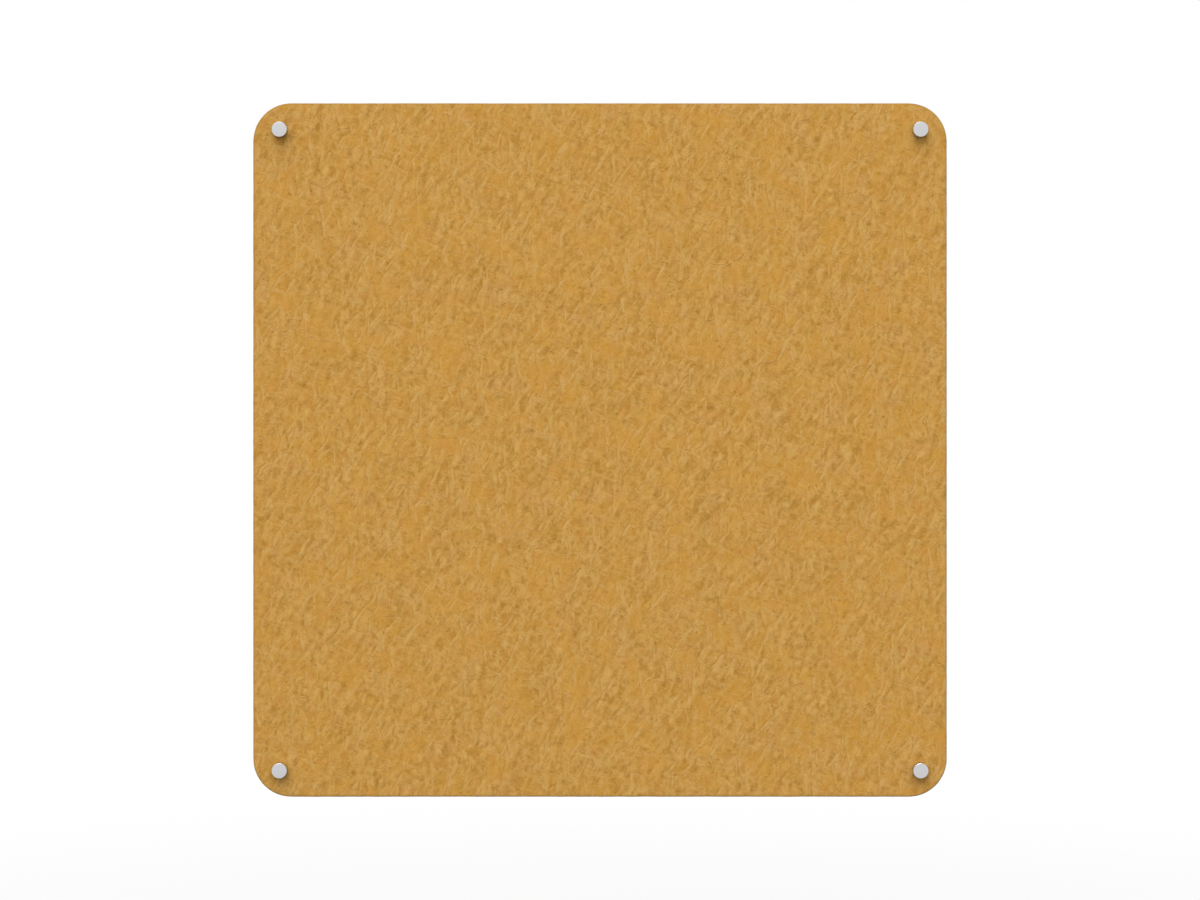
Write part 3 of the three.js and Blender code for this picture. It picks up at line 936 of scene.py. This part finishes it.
def bar(name, half_x, half_z, start, end, taper=1.0):
    """A bar along the Y axis, whose end towards the wall is narrowed by taper."""
    ends = []
    for y, share in ((start, 1.0), (end, taper)):
        x, z = half_x * share, half_z * share
        ends.append([(-x, y, -z), (x, y, -z), (x, y, z), (-x, y, z)])
    return block(name, *ends)


def fin(radius, start, end, sign):
    """A wedge on the plug's neck that keeps it from turning in its hole."""
    root, tip, half = radius - 0.5 * MM, radius + 0.6 * MM, 0.3 * MM
    section = ((root, start), (tip, start), (radius, end), (root, end))
    return block("fin", *[[(sign * x, y, z) for x, y in section] for z in (sign * half, -sign * half)])


def screw_mesh(fixing):
    """Wall screw: domed head with a tapered cross recess, a plain neck, and a coarse thread to its point."""
    radius, pitch = fixing.screw_radius, fixing.screw_pitch
    core, point, dome_steps = 1.1 * MM, 3 * MM, 8
    rim, neck_end = BARREL_BASE + 0.63 * MM, BARREL_BASE - 1.5 * MM
    dome = []
    for step in range(dome_steps + 1):
        angle = step / dome_steps * QUARTER
        dome.append((SCREW_HEAD_RADIUS * math.sin(angle), rim + (SCREW_HEAD_REACH - rim) * math.cos(angle)))
    neck = [
        (SCREW_HEAD_RADIUS, BARREL_BASE + 0.1 * MM),
        (SCREW_HEAD_RADIUS - 0.1 * MM, BARREL_BASE),
        (core + 0.15 * MM, BARREL_BASE),
        (core, BARREL_BASE - 0.3 * MM),
        (core, neck_end),
    ]
    thread = threaded(
        (radius - core) / radius,
        pitch,
        (core + 0.05 * MM, neck_end),
        (radius, neck_end - MM),
        (radius, SCREW_END + point),
        (0.1 * MM, SCREW_END + 0.05 * MM),
    )
    rows = dome + neck + thread + [(0.0, SCREW_END)]
    screw = new_object("wall screw", turned("wall screw", rows, SCREW_FACETS, pitch, SCREW_CREST_END))
    recess_start, recess_floor, taper = -SCREW_HEAD_REACH - MM, -SCREW_HEAD_REACH + 1.4 * MM, 0.6
    wide, narrow = 0.55 * SCREW_HEAD_RADIUS, 0.28 * MM
    for half_x, half_z in ((wide, narrow), (narrow, wide)):
        merged(screw, bar("recess", half_x, half_z, recess_start, recess_floor, taper), "DIFFERENCE")
    return mesh_of(screw)


def plug_mesh(fixing):
    """Wall plug: a plain neck, barbs that lean against the pull, two fins, and a slot that lets it spread."""
    radius, bore, length = fixing.plug_radius, fixing.plug_bore, PLUG_LENGTH
    barbs, neck, nose, slot_start = 5, 0.26 * length, 0.08 * length, 0.34 * length
    low = radius - 0.4 * MM
    pitch = (length - neck - nose) / barbs
    corners = [(radius, 0.0, 0.15 * MM)]
    for number in range(barbs):
        start = neck + number * pitch
        corners += [(radius, -start, 0.12 * MM), (low, -(start + pitch), 0.1 * MM)]
    corners += [
        (low, -length + 0.3 * MM, 0.2 * MM),
        (low - 0.3 * MM, -length, 0.1 * MM),
        (bore, -length, 0.1 * MM),
        (bore, -0.4 * MM),
        (bore + 0.4 * MM, 0.0, 0.1 * MM),
    ]
    plug = new_object("wall plug", turned("wall plug", profile(*corners, steps=3), PLUG_FACETS))
    merged(plug, bar("slot", 0.35 * MM, radius + MM, slot_start, length + MM), "DIFFERENCE")
    for sign in (1, -1):
        merged(plug, fin(radius, 0.2 * neck, 0.9 * neck, sign), "UNION")
    plug.data.set_sharp_from_angle(angle=SHARP_ANGLE)
    return mesh_of(plug)


def at_every_corner(kind):
    """The CAD nodes of one kind, one at each corner."""
    return [f"{corner}_{kind}" for corner in CORNERS]


class PINBOARD_OT_board(bpy.types.Operator):
    """Make the felt board, with a soft relief, rounded edges and its four holes"""

    bl_idname = "pinboard.board"
    bl_label = "Felt board"

    def execute(self, context):
        board = context.scene.pinboard_board
        panel = new_object("felt_panel", board_mesh(board))
        felt = felt_material(board)
        through_tree(panel, relief_tree(), relief=board.relief, grain=board.relief_grain, material=felt)
        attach(panel, "board")
        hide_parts("felt_board")
        return {"FINISHED"}


class PINBOARD_OT_fibres(bpy.types.Operator):
    """Lay loose fibres on both faces of the felt board"""

    bl_idname = "pinboard.fibres"
    bl_label = "Loose fibres"

    def execute(self, context):
        fibres = context.scene.pinboard_fibres
        panel = bpy.data.objects["felt_panel"]
        shared = {"material": fibre_material(context.scene.pinboard_board)}
        for name in ("shortest", "longest", "thickness", "lean", "spread"):
            shared[name] = getattr(fibres, name)
        tree = fibre_tree()
        for name, side, density, seed in (
            ("front_fibres", -1.0, fibres.front_density, fibres.seed),
            ("back_fibres", 1.0, fibres.back_density, fibres.seed + 10),
        ):
            strands = new_object(name, panel.data.copy())
            through_tree(strands, tree, side=side, density=density, seed=seed, **shared)
            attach(strands, "board")
        return {"FINISHED"}


class PINBOARD_OT_caps(bpy.types.Operator):
    """Turn the four caps with their threaded studs"""

    bl_idname = "pinboard.caps"
    bl_label = "Caps"

    def execute(self, context):
        stand_off = context.scene.pinboard_stand_offs
        metal = aluminium_material(stand_off)
        for number, corner in enumerate(CORNERS):
            cap = seated(cap_mesh(stand_off), f"{corner}_turned_cap", number, metal)
            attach(cap, f"{corner}_head")
            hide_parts(f"{corner}_cap")
        return {"FINISHED"}


class PINBOARD_OT_washers(bpy.types.Operator):
    """Punch the rubber washers for both faces of the board"""

    bl_idname = "pinboard.washers"
    bl_label = "Rubber washers"

    def execute(self, context):
        stand_off = context.scene.pinboard_stand_offs
        material = washer_material(stand_off)
        for number, corner in enumerate(CORNERS):
            ring = washer_mesh(stand_off, BOARD_FRONT, CAP_BACK)
            washer = seated(ring, f"{corner}_rubber_front_washer", number, material)
            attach(washer, f"{corner}_washer")
            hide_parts(f"{corner}_front_washer")
        ring = washer_mesh(stand_off, BARREL_FRONT, BOARD_BACK)
        washers = seated(ring, "rubber_rear_washers", EVERY_CORNER, material)
        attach(washers, "board")
        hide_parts(*at_every_corner("rear_washer"))
        return {"FINISHED"}


class PINBOARD_OT_barrels(bpy.types.Operator):
    """Turn the four barrels that hold the board off the wall"""

    bl_idname = "pinboard.barrels"
    bl_label = "Barrels"

    def execute(self, context):
        mesh, metal = barrel_mesh(context.scene.pinboard_stand_offs), bpy.data.materials[ALUMINIUM]
        barrels = seated(mesh, "turned_barrels", EVERY_CORNER, metal)
        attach(barrels, "board")
        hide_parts(*at_every_corner("barrel"))
        return {"FINISHED"}


class PINBOARD_OT_screws(bpy.types.Operator):
    """Roll the four wall screws"""

    bl_idname = "pinboard.screws"
    bl_label = "Wall screws"

    def execute(self, context):
        fixing = context.scene.pinboard_fixings
        screws = seated(screw_mesh(fixing), "threaded_wall_screws", EVERY_CORNER, zinc_material(fixing))
        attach(screws, "board")
        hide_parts(*at_every_corner("wall_screw"))
        return {"FINISHED"}


class PINBOARD_OT_plugs(bpy.types.Operator):
    """Mould the four wall plugs"""

    bl_idname = "pinboard.plugs"
    bl_label = "Wall plugs"

    def execute(self, context):
        fixing = context.scene.pinboard_fixings
        plugs = seated(plug_mesh(fixing), "moulded_wall_plugs", EVERY_CORNER, nylon_material(fixing))
        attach(plugs, "board")
        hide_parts(*at_every_corner("wall_plug"))
        return {"FINISHED"}


FLOOR_HALF = 6.0
# Where the floor begins and ends to fade into the background, from its middle
FLOOR_NEAR, FLOOR_FAR = 0.8, 1.7
WHITE = linear("#ffffff")
PAINT = linear("#6c6c6c")


def kinds_of_rays(tree):
    """Two marks: 1 for a ray that shows something to the camera, also in a mirror or through glass, and 1 for
    a ray that brings light straight to a matt surface. Light that comes to one over metal has neither."""
    ray = node(tree, "ShaderNodeLightPath").node.outputs
    mirrored = node(tree, MATH, (ray["Is Glossy Ray"], ray["Is Transmission Ray"]), operation="MAXIMUM")
    first = node(tree, MATH, (ray["Diffuse Depth"], 0.5), operation="LESS_THAN")
    in_mirror = weighted(tree, (mirrored, first))
    seen = node(tree, MATH, (ray["Is Camera Ray"], in_mirror), operation="MAXIMUM")
    either = node(tree, MATH, (seen, mirrored), operation="MAXIMUM")
    return seen, node(tree, MATH, (1.0, either), operation="SUBTRACT")


def floor_material(stage):
    """Matt white studio floor that takes the object's shadow and fades into the background."""
    material, tree = new_material("matt white studio floor")
    tree.nodes.clear()
    distance = node(tree, VECTOR, (node(tree, COORDINATES, out="Object"),), "Value", operation="LENGTH")
    far = node(tree, MAP_RANGE, (distance, FLOOR_NEAR, FLOOR_FAR), interpolation_type=SOFTLY)
    seen, lighting = kinds_of_rays(tree)
    paint = node(tree, "ShaderNodeBsdfDiffuse", {"Color": PAINT})
    glow = node(tree, EMISSION, (WHITE, weighted(tree, (seen, stage.floor_glow))))
    lit = node(tree, "ShaderNodeAddShader", (paint, glow))
    plain = node(tree, EMISSION, (WHITE, weighted(tree, (seen, 1.0), (lighting, stage.floor_level))))
    node(tree, "ShaderNodeOutputMaterial", (node(tree, "ShaderNodeMixShader", (far, lit, plain)),))
    return material


class PINBOARD_OT_stage(bpy.types.Operator):
    """Set up the camera, the floor, the light from all round and the soft lamp"""

    bl_idname = "pinboard.stage"
    bl_label = "Stage"

    def execute(self, context):
        scene, stage = context.scene, context.scene.pinboard_stage
        view = bpy.data.cameras.new("camera")
        view.lens = view.sensor_width * stage.camera_distance / stage.frame_width
        view.clip_start, view.clip_end = 0.05, 50.0
        camera = new_object("camera", view)
        camera.location = (0, -BOARD_FRONT - stage.camera_distance, 0)
        camera.rotation_euler = (QUARTER, 0, 0)
        scene.camera = camera

        half = FLOOR_HALF
        points = [(-half, -half, 0), (half, -half, 0), (half, half, 0), (-half, half, 0)]
        floor = new_object("floor", mesh_from("floor", points, [(0, 1, 2, 3)]))
        floor.location.z = -stage.floor_drop
        floor.data.materials.append(floor_material(stage))

        lamp = bpy.data.lights.new("soft lamp", "SUN")
        lamp.energy, lamp.angle = stage.lamp, stage.lamp_angle
        new_object("soft lamp", lamp).rotation_euler = (QUARTER - stage.lamp_tilt, 0, -stage.lamp_turn)

        world = bpy.data.worlds.new("studio")
        world.use_nodes = True
        scene.world = world
        seen, lighting = kinds_of_rays(world.node_tree)
        level = weighted(world.node_tree, (seen, 1.0), (lighting, stage.ambient))
        fill(world.node_tree.nodes["Background"], {"Color": WHITE, "Strength": level})
        scene.view_settings.view_transform = "Standard"
        return {"FINISHED"}


SETTINGS = {
    "pinboard_board": BoardSettings,
    "pinboard_fibres": FibreSettings,
    "pinboard_stand_offs": StandOffSettings,
    "pinboard_fixings": FixingSettings,
    "pinboard_stage": StageSettings,
}
OPERATORS = (
    PINBOARD_OT_stage,
    PINBOARD_OT_board,
    PINBOARD_OT_fibres,
    PINBOARD_OT_caps,
    PINBOARD_OT_washers,
    PINBOARD_OT_barrels,
    PINBOARD_OT_screws,
    PINBOARD_OT_plugs,
)


class PINBOARD_PT_pieces(bpy.types.Panel):
    """The pinboard's pieces and their settings"""

    bl_label = "Pinboard"
    bl_space_type = "VIEW_3D"
    bl_region_type = "UI"
    bl_category = "Pinboard"

    def draw(self, context):
        for operator in OPERATORS:
            self.layout.operator(operator.bl_idname)
        for name in SETTINGS:
            box = self.layout.box()
            settings = getattr(context.scene, name)
            for key in settings.__annotations__:
                box.prop(settings, key)


register_classes, unregister_classes = bpy.utils.register_classes_factory(
    (*SETTINGS.values(), *OPERATORS, PINBOARD_PT_pieces)
)


def register():
    register_classes()
    for name, group in SETTINGS.items():
        setattr(bpy.types.Scene, name, PointerProperty(type=group))


def unregister():
    for name in SETTINGS:
        delattr(bpy.types.Scene, name)
    unregister_classes()


def main():
    register()
    for operator in OPERATORS:
        group, name = operator.bl_idname.split(".")
        getattr(getattr(bpy.ops, group), name)()


if __name__ == "__main__":
    main()
